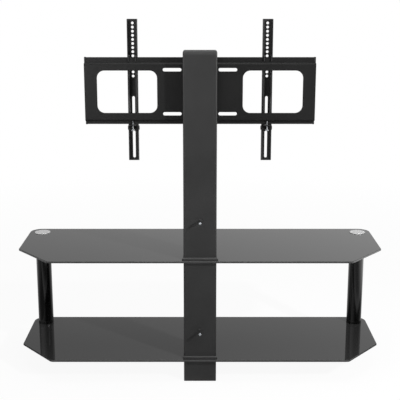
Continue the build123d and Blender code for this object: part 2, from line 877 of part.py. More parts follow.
def write_shelves():
    save("lower_shelf_glass", glass_shelf(lower_shelf_height))
    save("upper_shelf_glass", glass_shelf(upper_shelf_height))


def write_column():
    middle = column_tube(middle_tube_bottom, middle_tube_top) - peg_hole(lower_peg_height)
    save("lower_column_tube", column_tube(lower_tube_bottom, lower_tube_top))
    save("middle_column_tube", middle)
    save("upper_column_tube", upper_column_tube())
    save("column_top_cap", column_top_cap())
    save("column_foot_plug", column_foot_plug())
    save("lower_column_collar", column_collar(lower_shelf_height, lower_collar_nose))
    save("upper_column_collar", column_collar(upper_shelf_height, upper_collar_nose))
    save("column_gaskets", column_gasket(lower_glass_bottom), column_gasket(upper_glass_bottom))
    save("column_base_plate", welded_plate(base_plate_bottom, base_plate_thickness))
    save("column_clamp_plate", welded_plate(clamp_plate_bottom, clamp_plate_thickness))
    rods, nuts, washers = column_fixings()
    save("column_tie_rods", *rods)
    save("column_rod_nuts", *nuts)
    save("column_rod_washers", *washers)
    peg_levels = {"upper": upper_peg_height, "lower": lower_peg_height}
    for level, z in peg_levels.items():
        save(f"{level}_cable_peg", cable_peg(z))
        save(f"{level}_peg_tip", peg_tip(z))
    save("peg_rivet_nuts", *[peg_rivet_nut(z) for z in peg_levels.values()])


def write_legs():
    discs = []
    gaskets = []
    for side, x in (("left", -leg_x), ("right", leg_x)):
        save(f"{side}_lower_leg_tube", leg_tube(x, leg_tube_bottom(), lower_tube_top))
        save(f"{side}_upper_leg_tube", leg_tube(x, upper_leg_bottom, middle_tube_top))
        save(f"{side}_leg_collar", leg_collar(x))
        save(f"{side}_leg_cap", leg_cap(x))
        save(f"{side}_leg_tie_rod", leg_tie_rod(x))
        save(f"{side}_foot_insert", foot_insert(x))
        save(f"{side}_foot_pad", foot_pad(x))
        save(f"{side}_foot_stud", foot_stud(x))
        discs += leg_centring_discs(x)
        gaskets += leg_gaskets(x)
    save("leg_centring_discs", *discs)
    save("leg_gaskets", *gaskets)


def write_mount():
    save("mount_plate", mount_plate())
    for level, span in zip(("top", "bottom"), lip_spans()):
        save(f"{level}_lip_caps", *[lip_cap(side, *span) for side in (-1, 1)])
    bolts, washers, nuts = plate_fixings()
    save("plate_bolts", *bolts)
    save("plate_washers", *washers)
    save("plate_rivet_nuts", *nuts)


def write_arms():
    for side, x in (("left", -arm_x), ("right", arm_x)):
        save(f"{side}_arm_rail", arm_rail(x))
        save(f"{side}_hook_bracket", hook_bracket(x))
        bolt, nut = cross_bolt(x, pivot_y, pivot_z, pivot_radius, pivot_head_radius, pivot_head_height)
        save(f"{side}_pivot_bolt", bolt)
        save(f"{side}_pivot_nut", nut)
        bolt, nut = cross_bolt(
            x, tilt_lock_y, tilt_lock_z, tilt_lock_radius, tilt_lock_head_radius, tilt_lock_head_height
        )
        save(f"{side}_tilt_lock_bolt", bolt)
        save(f"{side}_tilt_lock_nut", nut)
        save(f"{side}_friction_washers", *friction_washers(x))
        save(f"{side}_lock_screw", lock_screw(x))


os.makedirs("parts", exist_ok=True)
write_shelves()
write_column()
write_legs()
write_mount()
write_arms()
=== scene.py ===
# %% [markdown]
# # A television stand, from its steel and glass to its finishes
#
# The stand is a rear column with two black glass shelves, two round front legs, a slotted mount plate,
# and two tilting arms for the screen. Its solids come from an exact model, in metres, with +Z up. The
# screen faces -Y, so the column's back and its two cable pegs face +Y, and the stand's left is -X.
#
# This lesson dresses those solids: it gives every surface a finish made of shader nodes, and models the
# small turned and threaded pieces whose detail the plain solids leave out.

# %% Load the exact model
import json
import math

import bpy
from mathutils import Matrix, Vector


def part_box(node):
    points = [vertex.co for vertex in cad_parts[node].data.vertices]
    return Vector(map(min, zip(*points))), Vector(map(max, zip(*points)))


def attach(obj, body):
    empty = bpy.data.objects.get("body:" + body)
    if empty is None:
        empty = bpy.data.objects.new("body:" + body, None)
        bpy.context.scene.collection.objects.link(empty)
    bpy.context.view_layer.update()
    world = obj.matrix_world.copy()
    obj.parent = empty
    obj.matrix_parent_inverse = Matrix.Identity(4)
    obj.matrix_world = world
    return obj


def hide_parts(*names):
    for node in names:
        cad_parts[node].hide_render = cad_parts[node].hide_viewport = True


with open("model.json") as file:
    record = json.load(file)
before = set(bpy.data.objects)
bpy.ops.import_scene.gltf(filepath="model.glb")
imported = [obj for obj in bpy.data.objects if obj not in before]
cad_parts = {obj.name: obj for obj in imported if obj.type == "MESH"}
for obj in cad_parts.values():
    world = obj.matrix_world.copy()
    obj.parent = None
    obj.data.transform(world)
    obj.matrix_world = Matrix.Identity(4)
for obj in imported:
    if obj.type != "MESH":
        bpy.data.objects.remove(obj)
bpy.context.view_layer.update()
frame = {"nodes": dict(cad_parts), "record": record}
nodes = frame["nodes"]
MM = 0.001

# %% [markdown]
# ## The camera
#
# The stand is seen from behind, from a little above its top. A long lens keeps the column's edges almost
# parallel. The camera stands straight behind the column and looks down at the shelves. The lens could be
# given as an angle, but in millimetres on a 36 mm wide sensor it gives the same view at any image size.

# %% Place the camera
CAMERA_LENS = 81.2
CAMERA_HEIGHT = 1.2063
CAMERA_BACK = 2.7759
CAMERA_PITCH = 13.426

bpy.ops.object.camera_add(
    location=(0, CAMERA_BACK, CAMERA_HEIGHT),
    rotation=(math.radians(90 - CAMERA_PITCH), 0, math.pi),
)
camera = bpy.context.object
camera.name = "view_from_behind"
camera.data.lens = CAMERA_LENS
camera.data.sensor_width = 36.0
camera.data.sensor_fit = "HORIZONTAL"
bpy.context.scene.camera = camera
print("camera at", tuple(camera.location))

# %% [markdown]
# ## Shader maths as plain Python
#
# A material is a small program made of nodes. Wiring Math nodes by hand is slow to read, so one class
# wraps a node's output and overloads Python's operators: `1 - mask * 0.5` then adds the two Math nodes
# that compute it. A second class is a shader tree under construction: one method of it adds any other
# node, and the short ones after it are the nodes that are needed again and again. A finish is such a
# tree that ends in one shader.


# %% A socket that does arithmetic
class Socket:
    """One output of a shader node. Arithmetic on it adds Math nodes to its tree."""

    def __init__(self, tree, output):
        self.tree = tree
        self.output = output

    def math(self, operation, first, second):
        node = self.tree.nodes.new("ShaderNodeMath")
        node.operation = operation
        for socket, value in zip(node.inputs, (first, second)):
            if isinstance(value, Socket):
                self.tree.links.new(value.output, socket)
            else:
                socket.default_value = value
        return Socket(self.tree, node.outputs[0])

    def __add__(self, other):
        return self.math("ADD", self, other)

    def __radd__(self, other):
        return self.math("ADD", other, self)

    def __sub__(self, other):
        return self.math("SUBTRACT", self, other)

    def __rsub__(self, other):
        return self.math("SUBTRACT", other, self)

    def __mul__(self, other):
        return self.math("MULTIPLY", self, other)

    def __rmul__(self, other):
        return self.math("MULTIPLY", other, self)

    def __pow__(self, other):
        return self.math("POWER", self, other)

    def __lt__(self, other):
        return self.math("LESS_THAN", self, other)

    def __abs__(self):
        return self.math("ABSOLUTE", self, 0.0)

    def within(self, low, high):
        """The value, held between two limits."""
        raised = self.math("MAXIMUM", self, low)
        return raised.math("MINIMUM", raised, high)


# %% A tree that grows node by node
class Graph:
    """A shader tree under construction. Its node method adds any node that isn't plain arithmetic."""

    def __init__(self, tree):
        self.tree = tree

    def feed(self, target, value):
        """Set a socket to a number or colour, or link a node's output to it."""
        if isinstance(value, Socket):
            self.tree.links.new(value.output, target)
        else:
            target.default_value = value

    def node(self, kind, output, inputs=None, settings=None, stops=None):
        """Add a node, set it up, feed its sockets by name or number, and return one of its outputs."""
        node = self.tree.nodes.new(kind)
        for name, value in (settings or {}).items():
            setattr(node, name, value)
        for place, colour in (stops or [])[2:]:
            node.color_ramp.elements.new(place)
        for element, (place, colour) in zip(node.color_ramp.elements if stops else [], stops or []):
            element.position = place
            element.color = colour
        for name, value in (inputs or {}).items():
            self.feed(node.inputs[name], value)
        return Socket(self.tree, node.outputs[output])

    def noise(self, vector, scale, detail=2.0):
        """A cloud of values around 0.5, with about `scale` lumps in a metre."""
        return self.node("ShaderNodeTexNoise", "Fac", {"Vector": vector, "Scale": scale, "Detail": detail})

    def stretch(self, vector, scale):
        """The same place with each axis scaled by itself, which draws a pattern out along an axis."""
        return self.node("ShaderNodeMapping", "Vector", {"Vector": vector, "Scale": scale})

    def axis(self, vector, name):
        """One coordinate of a place or direction: X, Y or Z."""
        return self.node("ShaderNodeSeparateXYZ", name, {"Vector": vector})

    def ramp(self, value, *stops):
        """A grey picked from a ramp by a value. Each stop is a place on the ramp and a brightness."""
        greys = [(at, grey(brightness)) for at, brightness in stops]
        return self.node("ShaderNodeValToRGB", "Color", {"Fac": value}, stops=greys)

    def share(self, value, start, end):
        """How far a value has come on its way from start to end: from 0 to 1."""
        inputs = {"Value": value, "From Min": start, "From Max": end}
        return self.node("ShaderNodeMapRange", "Result", inputs)


def grey(value):
    """A grey of that brightness, as a colour with full alpha."""
    return (value, value, value, 1.0)


# %% A finish is a tree that ends in one shader
class Finish(Graph):
    """A material. Sockets that are the same all over the surface are set when it is made."""

    def __init__(self, name, **constants):
        self.material = bpy.data.materials.new(name)
        self.material.use_nodes = True
        super().__init__(self.material.node_tree)
        self.shader = self.tree.nodes["Principled BSDF"]
        self.place = self.node("ShaderNodeTexCoord", "Object")
        for socket, value in constants.items():
            self.set(socket.replace("_", " "), value)

    def set(self, socket, value):
        """Feed one of the shader's own sockets."""
        self.feed(self.shader.inputs[socket], value)

    def relief(self, height, distance, strength=1.0):
        """Lean the shader's normal as a relief of that height would."""
        inputs = {"Height": height, "Distance": distance, "Strength": strength}
        self.set("Normal", self.node("ShaderNodeBump", "Normal", inputs))


print("shader helpers ready")

# %% [markdown]
# ## Powder coat on the column, the plate and the arms
#
# The column, the mount plate, the arms and their brackets are sheet steel with a satin black powder coat.
# Powder flows into a skin with a very fine orange-peel relief. It could be a flat dark colour, but then
# the large flat faces would look like card: real powder coat breaks up its highlight, and its gloss
# changes slightly from place to place. So a fine noise feeds the bump and a broad one feeds roughness.
# The mount plate has a coarser coat than the column, which mirrors less, and its greys are set darker than
# the column's: that darkness is painted shade. The arms have a duller coat.


# %% Satin black powder coat
def powder_coat(name, dark, light, roughness, lumps, shine):
    """A black powder coat: two greys, roughness, the lumps of peel in a metre, and how much it mirrors."""
    coat = Finish(name, Specular_IOR_Level=shine)
    peel = coat.noise(coat.place, lumps, detail=1.0)
    broad = coat.noise(coat.place, 9.0, detail=3.0)
    speckle = coat.noise(coat.place, 2600.0, detail=0.0)
    coat.set("Base Color", coat.ramp(broad, (0.3, dark), (0.7, light)))
    coat.set("Roughness", roughness + broad * 0.08 + speckle * 0.06)
    coat.relief(peel + speckle * 0.3, 0.00004)
    print("finish", name)
    return coat


column_black = powder_coat(
    "column_powder_coat", dark=0.014, light=0.018, roughness=0.32, lumps=650.0, shine=0.5
)
# The mount coat's greys are darker than the column's: painted shade on the plate.
mount_black_painted_shade = powder_coat(
    "mount_powder_coat_painted_shade", dark=0.008, light=0.010, roughness=0.25, lumps=480.0, shine=0.22
)
arm_black = powder_coat(
    "arm_powder_coat", dark=0.014, light=0.018, roughness=0.38, lumps=560.0, shine=0.4
)

# %% [markdown]
# ## Gloss paint on the front legs
#
# The round legs are tubes with gloss black paint, so they mirror the room in long vertical streaks. A
# clear coat over a duller base could carry the sharp reflection. Plain gloss paint needs only one smooth
# layer, so the base is nearly black and the shader's own reflection does the rest. A faint waviness along
# the tube keeps the streaks from looking computed.

# %% Gloss black paint
leg_black = Finish("leg_gloss_paint", Base_Color=grey(0.002))
wave = leg_black.noise(leg_black.stretch(leg_black.place, (40.0, 40.0, 6.0)), 1.0, detail=1.0)
smear = leg_black.noise(leg_black.place, 30.0, detail=4.0)
leg_black.set("Roughness", 0.08 + smear * 0.05)
leg_black.relief(wave, 0.0004, strength=0.3)
print("finish", leg_black.material.name)

# %% [markdown]
# ## Black glass
#
# The shelves are sheets of black tempered glass with polished faces and ground edges. They could be made
# see-through with a dark tint, but nothing shows through black glass, so an opaque base looks the same
# and renders sooner. At a low angle glass mirrors a fifth of the room, which is why a black shelf looks
# mid grey. That comes by itself from the shader's own reflection, so the base stays almost black. The
# ground edge scatters light, so there the surface is rougher and paler. The normal tells the edge from
# the faces: it is upright on a face and lies flat on an edge.

# %% Polished black glass with ground edges
black_glass = Finish("black_tempered_glass", IOR=1.5)
normal = black_glass.node("ShaderNodeNewGeometry", "Normal")
edge = abs(black_glass.axis(normal, "Z")) < 0.9
grind = black_glass.noise(black_glass.stretch(black_glass.place, (60.0, 60.0, 900.0)), 1.0)
haze = black_glass.noise(black_glass.place, 5.0, detail=3.0)
black_glass.set("Roughness", 0.015 + haze * 0.02 + edge * (0.25 + grind * 0.15))
black_glass.set("Base Color", black_glass.ramp(edge, (0.0, 0.03), (1.0, 0.035)))
print("finish", black_glass.material.name)

# %% [markdown]
# ## Silver, zinc, plastic and rubber
#
# The rest are small pieces. The leg caps are satin silver. The lock screws, the peg tips and the hidden
# rods, nuts and washers are zinc plated, which is darker and has a faint bluish bloom. The bolts of the
# plate and the arms are blackened steel. The column's cap, its collars and the feet are black moulded
# plastic with a fine spark-eroded grain. The leg collars are moulded in a polished tool, so they are
# almost as glossy as the legs. The gaskets and the caps on the plate's lips are matt rubber. One grey and
# one black could do for all of them, but side by side they are told apart by how they spread the light,
# so each has its own roughness and its own grain.

# %% Satin silver
satin_silver = Finish("satin_silver", Metallic=0.85)
frost = satin_silver.noise(satin_silver.place, 3000.0, detail=1.0)
cloud = satin_silver.noise(satin_silver.place, 60.0)
satin_silver.set("Base Color", satin_silver.ramp(cloud, (0.3, 0.84), (0.7, 0.87)))
satin_silver.set("Roughness", 0.52 + frost * 0.08)
satin_silver.relief(frost, 0.0000012)
print("finish", satin_silver.material.name)

# %% Zinc plate
zinc = Finish("bright_zinc_plate", Metallic=0.6)
bloom = zinc.noise(zinc.place, 140.0, detail=3.0)
cool = (0.33, 0.355, 0.39, 1.0)
warm = (0.41, 0.415, 0.41, 1.0)
stops = [(0.3, cool), (0.7, warm)]
zinc.set("Base Color", zinc.node("ShaderNodeValToRGB", "Color", {"Fac": bloom}, stops=stops))
zinc.set("Roughness", 0.42 + bloom * 0.2)
zinc.relief(zinc.noise(zinc.place, 1500.0, detail=1.0), 0.00001)
print("finish", zinc.material.name)

# %% Blackened steel of the bolts
black_oxide = Finish("blackened_steel", Metallic=0.3)
rub = black_oxide.noise(black_oxide.place, 220.0, detail=3.0)
black_oxide.set("Base Color", black_oxide.ramp(rub, (0.35, 0.010), (0.75, 0.022)))
black_oxide.set("Roughness", 0.32 + rub * 0.2)
black_oxide.relief(rub, 0.00002)
print("finish", black_oxide.material.name)

# %% Black moulded plastic
black_plastic = Finish("black_moulded_plastic", Specular_IOR_Level=0.45)
grain = black_plastic.noise(black_plastic.place, 1400.0)
patch = black_plastic.noise(black_plastic.place, 20.0)
black_plastic.set("Base Color", black_plastic.ramp(patch, (0.3, 0.026), (0.7, 0.032)))
black_plastic.set("Roughness", 0.42 + grain * 0.16)
black_plastic.relief(grain, 0.00005)
print("finish", black_plastic.material.name)

# %% Glossy black plastic of the leg collars
collar_gloss = Finish("leg_collar_gloss", Base_Color=grey(0.003), Specular_IOR_Level=0.3)
shade = collar_gloss.noise(collar_gloss.place, 60.0)
collar_gloss.set("Roughness", 0.2 + shade * 0.08)
print("finish", collar_gloss.material.name)

# %% Matt rubber
black_rubber = Finish("black_rubber", Specular_IOR_Level=0.3)
dust = black_rubber.noise(black_rubber.place, 300.0, detail=3.0)
black_rubber.set("Base Color", black_rubber.ramp(dust, (0.3, 0.010), (0.8, 0.025)))
black_rubber.set("Roughness", 0.75 + dust * 0.15)
black_rubber.relief(dust, 0.00004)
print("finish", black_rubber.material.name)

# %% [markdown]
# ## Dress the solids
#
# Each solid in the record names a material slot, so the finishes are matched to those slots. A solid
# keeps its mesh: only its material changes.

# %% Give every solid its finish
finish_of_slot = {
    "tinted_glass": black_glass,
    "column_black_steel": column_black,
    "mount_black_steel": mount_black_painted_shade,
    "arm_black_steel": arm_black,
    "gloss_black_steel": leg_black,
    "black_bolts": black_oxide,
    "satin_silver": satin_silver,
    "zinc_steel": zinc,
    "black_plastic": black_plastic,
    "black_rubber": black_rubber,
}


def dress(piece, finish):
    """Make a finish the only material of a piece."""
    piece.data.materials.clear()
    piece.data.materials.append(finish.material)


for part in frame["record"]["subparts"]:
    dress(nodes[part["node"]], finish_of_slot[part["material_slot"]])

# %% [markdown]
# ## Turned pieces
#
# Bolts, caps, feet and pegs are round, and the solids leave out what makes them look made: threads,
# sockets, soft rims. A lathe turns such a piece from a bar, ring by ring. The same is done here: a
# cylinder is the first cut, and its end face is then extruded and resized once for each further ring.
# A curve could be spun round an axis instead, but a list of heights and radii is easier to read and change.


# %% A lathe made of extrusions
def deselect():
    """Leave nothing selected, so that an operator acts only on what it makes."""
    bpy.ops.object.select_all(action="DESELECT")


def pick(piece, chosen):
    """Open the piece in edit mode with only the chosen faces selected."""
    bpy.ops.object.mode_set(mode="EDIT")
    bpy.ops.mesh.select_mode(type="FACE")
    bpy.ops.mesh.select_all(action="DESELECT")
    bpy.ops.object.mode_set(mode="OBJECT")
    for face in piece.data.polygons:
        face.select = chosen(face)
    bpy.ops.object.mode_set(mode="EDIT")


def turned(name, rings, sides=48):
    """A round piece along Z from its rings, each a height and a radius in millimetres."""
    (start, radius), (end, next_radius) = rings[:2]
    deselect()
    middle_height = (start + end) / 2 * MM
    bpy.ops.mesh.primitive_cylinder_add(
        vertices=sides, radius=radius * MM, depth=abs(end - start) * MM, location=(0, 0, middle_height)
    )
    piece = bpy.context.object
    piece.name = name
    bpy.ops.object.transform_apply(location=True, rotation=True, scale=True)
    heading = 1 if end > start else -1
    pick(piece, lambda face: face.normal.z * heading > 0.9)
    resize_ring(radius, end, next_radius)
    for (height, radius), (next_height, next_radius) in zip(rings[1:], rings[2:]):
        step = (0, 0, (next_height - height) * MM)
        bpy.ops.mesh.extrude_region_move(TRANSFORM_OT_translate={"value": step})
        resize_ring(radius, next_height, next_radius)
    bpy.ops.mesh.select_all(action="SELECT")
    bpy.ops.mesh.normals_make_consistent(inside=False)
    bpy.ops.object.mode_set(mode="OBJECT")
    return piece


def resize_ring(radius, height, new_radius):
    """Bring the selected ring from one radius to another."""
    share = new_radius / radius
    bpy.ops.transform.resize(value=(share, share, 1), center_override=(0, 0, height * MM))


def thread(start, end, radius, pitch):
    """The rings of a screw thread from one height to another: crest and root in turn."""
    depth = pitch * 0.5
    turns = max(1, round(abs(end - start) / pitch))
    step = (end - start) / turns
    rings = []
    for turn in range(turns):
        rings.append((start + step * (turn + 0.35), radius - depth))
        rings.append((start + step * (turn + 0.65), radius - depth))
        rings.append((start + step * (turn + 1.0), radius))
    return rings


def soft_rim(height, radius, rise, roll):
    """The rings of a rounded rim above a ring: it rises by rise and comes in by roll."""
    quarter = [math.radians(degrees) for degrees in (22.5, 45, 67.5, 90)]
    return [(height + rise * math.sin(a), radius - roll * (1 - math.cos(a))) for a in quarter]


print("a thread of three turns:", thread(0, 3, 4, 1.0))

# %% [markdown]
# ## Sockets, places and finishes for a turned piece
#
# A hex socket or hex head is cut after turning, as in the workshop. A Boolean modifier does it: the tool
# is a six-sided turned bar, and it is taken away, or only what it shares with the piece is kept. It takes
# its finish and its body from the solid that it stands for.


# %% Cut, lay and fit out a piece
def carve(piece, tool, operation="DIFFERENCE"):
    """Cut the piece with a tool, or keep what both share, and put the tool away."""
    cut = piece.modifiers.new("cut", "BOOLEAN")
    cut.operation = operation
    cut.object = tool
    deselect()
    piece.select_set(True)
    bpy.context.view_layer.objects.active = piece
    bpy.ops.object.modifier_apply(modifier=cut.name)
    bpy.data.objects.remove(tool)
    return piece


def lay(piece, place, turn=(0, 0, 0)):
    """Turn a piece from the Z axis, then move it to its place. Both go into its mesh."""
    deselect()
    piece.select_set(True)
    bpy.context.view_layer.objects.active = piece
    piece.rotation_euler = [math.radians(angle) for angle in turn]
    piece.location = place
    bpy.ops.object.transform_apply(location=True, rotation=True, scale=True)
    return piece


slot_of = {part["node"]: part["material_slot"] for part in frame["record"]["subparts"]}
bodies = frame["record"]["behaviour"]["bodies"]
body_of = {node: body for body, members in bodies.items() for node in members}
SMOOTH_ANGLE = 32


def fit_out(piece, node):
    """Let a finished piece stand for a solid: its finish, its body, its soft shading."""
    deselect()
    piece.select_set(True)
    bpy.context.view_layer.objects.active = piece
    bpy.ops.object.shade_smooth_by_angle(angle=math.radians(SMOOTH_ANGLE))
    dress(piece, finish_of_slot[slot_of[node]])
    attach(piece, body_of[node])
    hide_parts(node)
    print(piece.name, len(piece.data.polygons), "faces")
    return piece


def middle(node, axis):
    """The middle of a solid along one axis, in metres."""
    low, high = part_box(node)
    return (low[axis] + high[axis]) / 2


def hex_corner(across):
    """How far a hexagon's corners are from its middle, from its width across the flats."""
    return across / 2 / math.cos(math.radians(30))


SIDES = {"left": -1, "right": 1}

# %% [markdown]
# ## Leg caps
#
# A leg cap is a thin silver disc on the upper glass, with a threaded boss that goes down through the glass
# to the leg's rod. It is cast and then faced, so its top is a touch domed and its rim is rolled. A dome is
# what makes it catch a soft gradient of light instead of one flat grey.

# %% Leg caps
CAP_RADIUS = 25.8
CAP_ROLL = 0.35
CAP_DOME = 0.12
CAP_FOOT = 0.2
BOSS_RADIUS = 5.85
BOSS_LENGTH = 16.0
BOSS_BEVEL = 0.5
BOSS_THREAD = 4.05

for side in SIDES:
    node = f"{side}_leg_cap"
    low, high = (corner[2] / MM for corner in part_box(node))
    seat = low + BOSS_LENGTH
    wall_top = high - CAP_DOME - CAP_ROLL
    rings = [(seat, BOSS_THREAD), (low, BOSS_THREAD), (low, BOSS_RADIUS - BOSS_BEVEL)]
    rings += [(low + BOSS_BEVEL, BOSS_RADIUS), (seat, BOSS_RADIUS)]
    rings += [(seat, CAP_RADIUS - CAP_FOOT), (seat + CAP_FOOT, CAP_RADIUS), (wall_top, CAP_RADIUS)]
    rings += soft_rim(wall_top, CAP_RADIUS, CAP_ROLL, CAP_ROLL)
    rings += [(high - 0.05, CAP_RADIUS * 0.7), (high - 0.01, CAP_RADIUS * 0.35), (high, CAP_RADIUS * 0.1)]
    cap = turned(f"{side}_leg_cap_disc", rings, sides=96)
    fit_out(lay(cap, (middle(node, 0), middle(node, 1), 0)), node)

# %% [markdown]
# ## Lock screws
#
# Each lock screw is driven up from below into the space behind the plate's bottom lip. It has a flared
# head to turn by hand, a hex socket for a key, and a fine thread. The thread's turns could be a helix, but
# at this size separate rings look the same and need far fewer faces.

# %% Lock screws
LOCK_SHANK = 2.0
LOCK_PITCH = 0.8
LOCK_HEAD = 5.0
LOCK_HEAD_EDGE = 0.6
LOCK_HEAD_HEIGHT = 3.4
LOCK_FLARE = 2.4
LOCK_CURVE = ((0.8, 3.3), (1.6, 2.5))
LOCK_POINT = 1.0
LOCK_SOCKET = 5.0
LOCK_SOCKET_DEPTH = 2.0

for side in SIDES:
    node = f"{side}_lock_screw"
    low, high = (corner[2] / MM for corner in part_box(node))
    flare = low + LOCK_HEAD_HEIGHT
    neck = flare + LOCK_FLARE
    rings = [(low, LOCK_HEAD - LOCK_HEAD_EDGE), (low + LOCK_HEAD_EDGE, LOCK_HEAD)]
    rings += [(flare - 0.4, LOCK_HEAD), (flare, LOCK_HEAD - LOCK_HEAD_EDGE)]
    rings += [(flare + rise, radius) for rise, radius in LOCK_CURVE] + [(neck, LOCK_SHANK)]
    rings += thread(neck + 1.0, high - LOCK_POINT, LOCK_SHANK, LOCK_PITCH) + [(high, LOCK_SHANK / 2)]
    screw = turned(f"{side}_lock_screw_threaded", rings, sides=32)
    key = hex_corner(LOCK_SOCKET)
    socket = turned("hex_key", [(low - 1.0, key), (low + LOCK_SOCKET_DEPTH, key)], sides=6)
    fit_out(lay(carve(screw, socket), (middle(node, 0), middle(node, 1), 0)), node)

# %% [markdown]
# ## Pivot and tilt lock bolts
#
# Two bolts cross each arm: the pivot below and the tilt lock above it. Each has a low, strongly domed head
# on the arm's outer side and a matching round nut on its inner side, both with a hex socket. They are
# turned with the head at the bottom and the thread upwards, and then laid on their side: a turn of 90
# degrees about Y brings Z to +X, and of -90 degrees to -X.

# %% Bolts across the arms
HEAD_FLAT = 0.55
HEAD_ROUNDING = 0.85
KEY_SHARE = 0.42
KEY_DEPTH = 1.0
NUT_KEY = 0.9
NUT_FIT = 0.05
PLAIN_SHARE = 0.55
THREAD_END = 0.4


def domed_head(radius, height):
    """The rings of a domed head from its outer face down to its flat underside."""
    face = radius * HEAD_FLAT
    arc = [math.radians(degrees) for degrees in (0, 15, 30, 45, 60, 75, 90)]
    rise = height * HEAD_ROUNDING
    dome = [(rise * (1 - math.cos(a)), face + (radius - face) * math.sin(a)) for a in arc]
    return dome + [(height, radius)]


def hex_key(radius):
    """The tool for a hex socket in a head's face at height 0."""
    size = radius * KEY_SHARE
    return turned("hex_key", [(-1.0, size), (KEY_DEPTH, size)], sides=6)


# Each bolt's name, head radius, head height, shank radius and thread pitch.
BOLTS = (("pivot", 7.2, 2.6, 4.0, 1.25), ("tilt_lock", 5.0, 2.5, 2.5, 0.8))

for side, sign in SIDES.items():
    for kind, head_radius, head_height, shank, pitch in BOLTS:
        node = f"{side}_{kind}_bolt"
        low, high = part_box(node)
        length = (high[0] - low[0]) / MM
        rings = domed_head(head_radius, head_height) + [(head_height, shank)]
        plain_end = length * PLAIN_SHARE
        rings += [(plain_end, shank)] + thread(plain_end, length - THREAD_END, shank, pitch)
        rings += [(length, shank - THREAD_END)]
        bolt = carve(turned(f"{side}_{kind}_bolt_domed", rings), hex_key(head_radius))
        outer = high[0] if sign > 0 else low[0]
        fit_out(lay(bolt, (outer, middle(node, 1), middle(node, 2)), (0, -90 * sign, 0)), node)

        node = f"{side}_{kind}_nut"
        low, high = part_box(node)
        bore = shank + NUT_FIT
        rings = domed_head(head_radius, head_height) + [(head_height, bore), (head_height / 2, bore)]
        nut = carve(turned(f"{side}_{kind}_nut_domed", rings), hex_key(head_radius * NUT_KEY))
        inner = low[0] if sign > 0 else high[0]
        fit_out(lay(nut, (inner, middle(node, 1), middle(node, 2)), (0, 90 * sign, 0)), node)

# %% [markdown]
# ## Bolts of the mount plate
#
# Four hex bolts hold the plate to the column. A hex head is a six-sided bar whose corners are turned off
# at 30 degrees, which leaves the curved line on each flat. So the head is what a turned blank and a
# six-sided bar share. The shank and its thread are turned on the same axis and joined on.

# %% Plate bolts
HEX_ACROSS = 13.0
HEX_HEIGHT = 5.3
HEX_FACE = 6.2
HEX_TURNED = 0.75
BOLT_SHANK = 4.0
BOLT_NECK = 3.0
BOLT_POINT = 0.8
BOLT_PITCH = 1.25
BOLT_SPACING = 50.0
BOLT_RISE = 130.0

node = "plate_bolts"
low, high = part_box(node)
length = (high[1] - low[1]) / MM
corner = hex_corner(HEX_ACROSS)
blank = turned("plate_bolt", [(0, HEX_FACE), (HEX_TURNED, corner), (HEX_HEIGHT, corner)])
head = carve(blank, turned("hex_bar", [(-1, corner), (HEX_HEIGHT + 1, corner)], sides=6), "INTERSECT")
rings = [(HEX_HEIGHT - 0.5, BOLT_SHANK), (HEX_HEIGHT + BOLT_NECK, BOLT_SHANK)]
rings += thread(HEX_HEIGHT + BOLT_NECK, length - BOLT_POINT, BOLT_SHANK, BOLT_PITCH)
rings += [(length, BOLT_SHANK - BOLT_POINT)]
plate_bolt = carve(head, turned("shank", rings), "UNION")
lay(plate_bolt, (0, 0, 0), (-90, 0, 0))
for side, sign in SIDES.items():
    for level, up in (("lower", -1), ("upper", 1)):
        copy = plate_bolt.copy()
        copy.data = plate_bolt.data.copy()
        copy.name = f"plate_bolt_{side}_{level}"
        bpy.context.scene.collection.objects.link(copy)
        height = middle(node, 2) + up * BOLT_RISE / 2 * MM
        lay(copy, (sign * BOLT_SPACING / 2 * MM, low[1], height))
        fit_out(copy, node)
bpy.data.objects.remove(plate_bolt)

# %% [markdown]
# ## Levelling feet
#
# A foot is a moulded pad with a threaded stud. It is turned by hand from the rim of the pad, so the rim has
# grip ribs. Each groove could be cut with a tool of its own, but the pad's wall already has narrow faces:
# every second one is pushed in a little, all in one go.

# %% Foot pads and studs
PAD_RADIUS = 22.0
PAD_HEIGHT = 8.0
PAD_SOLE = 20.8
PAD_WALL_TOP = 5.5
PAD_RISE = 2.2
PAD_ROLL = 3.0
PAD_GRIP = 0.7
PAD_SIDES = 72
STUD_RADIUS = 4.0
STUD_PITCH = 1.25
STUD_POINT = 0.7


def every_second(place):
    """True for every second face round the Z axis."""
    return math.floor(math.degrees(math.atan2(place.y, place.x)) * PAD_SIDES / 360) % 2 == 0


for side in SIDES:
    node = f"{side}_foot_pad"
    rings = [(0, PAD_SOLE), (1.0, PAD_RADIUS), (PAD_WALL_TOP, PAD_RADIUS)]
    rings += soft_rim(PAD_WALL_TOP, PAD_RADIUS, PAD_RISE, PAD_ROLL) + [(PAD_HEIGHT, PAD_RADIUS * 0.4)]
    pad = turned(f"{side}_foot_pad_ribbed", rings, sides=PAD_SIDES)
    pick(pad, lambda face: abs(face.normal.z) < 0.1 and every_second(face.center))
    bpy.ops.mesh.extrude_faces_move(TRANSFORM_OT_shrink_fatten={"value": -PAD_GRIP * MM})
    bpy.ops.object.mode_set(mode="OBJECT")
    fit_out(lay(pad, (middle(node, 0), middle(node, 1), 0)), node)

    node = f"{side}_foot_stud"
    low, high = (corner[2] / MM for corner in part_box(node))
    rings = [(low, STUD_RADIUS), (low + 1, STUD_RADIUS)]
    rings += thread(low + 1, high - STUD_POINT, STUD_RADIUS, STUD_PITCH)
    rings += [(high, STUD_RADIUS - STUD_POINT)]
    stud = turned(f"{side}_foot_stud_threaded", rings)
    fit_out(lay(stud, (middle(node, 0), middle(node, 1), 0)), node)

# %% [markdown]
# ## Cable pegs
#
# Two pegs stand out of the column's back, to wind cables on. Each is a black rod with a small flange at the
# column and a bright rounded tip. The flange blends into the rod with a small cove, and a fine groove marks
# where the tip is pressed on. A turn of -90 degrees about X brings Z to +Y.

